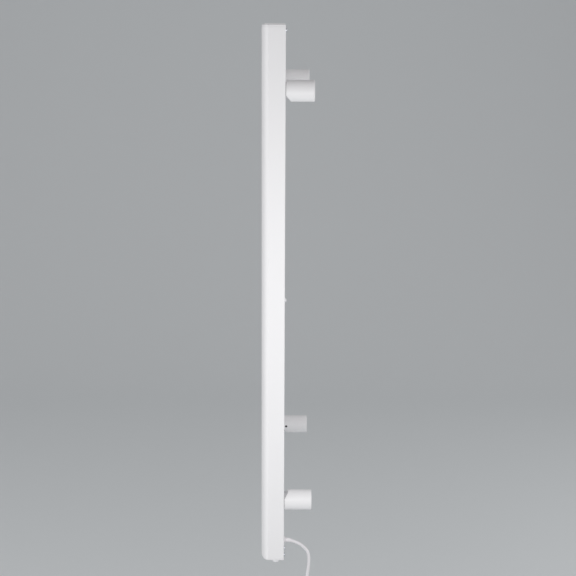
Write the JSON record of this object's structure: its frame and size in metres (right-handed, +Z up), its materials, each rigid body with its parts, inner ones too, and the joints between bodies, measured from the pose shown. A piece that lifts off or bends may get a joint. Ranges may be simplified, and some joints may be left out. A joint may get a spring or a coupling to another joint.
{
  "type": "electric towel rail",
  "caption": "Wall-hung electric ladder towel rail with round bars, D-section uprights, round wall posts, a push button under one end and a cord with a plug.",
  "frame": {"origin": "on the wall plane, in the middle of the four wall fixings", "axes": "+X along the width towards the upright with the cord and the button, +Y into the wall, +Z up"},
  "size_m": [0.5, 0.095, 1.285],
  "materials": {
    "white_coat": "satin white powder coat",
    "grey_coat": "satin light grey coat on the necks",
    "cap_plastic": "satin moulded white plastic",
    "button_plastic": "semi-gloss moulded white plastic",
    "dark_plastic": "matte moulded dark plastic inside",
    "zinc": "bright zinc-plated steel",
    "black_steel": "blackened steel grub screws",
    "white_screw": "white lacquered rivet head",
    "brass": "turned brass",
    "cable_rubber": "silicone rubber, red-brown",
    "joint_sleeve": "heat-shrink sleeve",
    "wire_plastic": "insulated single wires",
    "cord_plastic": "smooth white cord sheath",
    "tie_plastic": "flat white band",
    "plug_plastic": "fine-grained white plastic",
    "pin_metal": "nickel-plated brass",
    "spring_steel": "spring wire"
  },
  "bodies": {
    "wall_side": {"wall_post_top_right": "white_coat", "wall_post_bottom_right": "white_coat", "wall_post_top_left": "white_coat", "wall_post_bottom_left": "white_coat", "post_set_screws": "black_steel"},
    "rail": {"neck_top_right": "grey_coat", "neck_bottom_right": "grey_coat", "neck_top_left": "grey_coat", "neck_bottom_left": "grey_coat", "upright_left": "white_coat", "cap_top_left": "cap_plastic", "cap_bottom_left": "cap_plastic", "upright_right": "white_coat", "cap_top_right": "cap_plastic", "cap_bottom_right": "cap_plastic", "towel_bar_01": "white_coat", "towel_bar_02": "white_coat", "towel_bar_03": "white_coat", "towel_bar_04": "white_coat", "towel_bar_05": "white_coat", "towel_bar_06": "white_coat", "towel_bar_07": "white_coat", "towel_bar_08": "white_coat", "towel_bar_09": "white_coat", "towel_bar_10": "white_coat", "towel_bar_11": "white_coat", "towel_bar_12": "white_coat", "towel_bar_13": "white_coat", "towel_bar_14": "white_coat", "towel_bar_15": "white_coat", "towel_bar_16": "white_coat", "cap_screws": "zinc", "neck_bolts": "zinc", "rivet_nuts": "zinc", "heating_cable": "cable_rubber", "heater_joints": "joint_sleeve", "thermal_cutout": "dark_plastic", "cutout_clip": "zinc", "cutout_rivet": "white_screw", "return_lead_upper": "wire_plastic", "return_lead_lower": "wire_plastic", "terminal_block": "dark_plastic", "terminal_screws": "brass", "earth_screw": "zinc", "earth_nut": "zinc", "earth_lug": "zinc", "supply_wires": "wire_plastic", "switch_wires": "wire_plastic", "switch_body": "cap_plastic", "switch_nut": "dark_plastic", "button_spring": "spring_steel", "cord_relief": "cord_plastic", "relief_nut": "cord_plastic", "mains_cord": "cord_plastic", "cord_hank": "cord_plastic", "cord_tie": "tie_plastic", "plug_body": "plug_plastic", "plug_pins": "pin_metal", "plug_earth_contacts": "pin_metal"},
    "button": {"power_button": "button_plastic"}
  },
  "joints": [
    {"name": "rail_slide", "type": "slide", "parent": "wall_side", "child": "rail", "axis": [0, -1, 0], "range_m": [0, 0.01]},
    {"name": "button_press", "type": "slide", "parent": "rail", "child": "button", "axis": [0, 0, 1], "range_m": [0, 0.0025], "stiffness_N_per_m": 800, "deforming": ["button_spring"]}
  ]
}
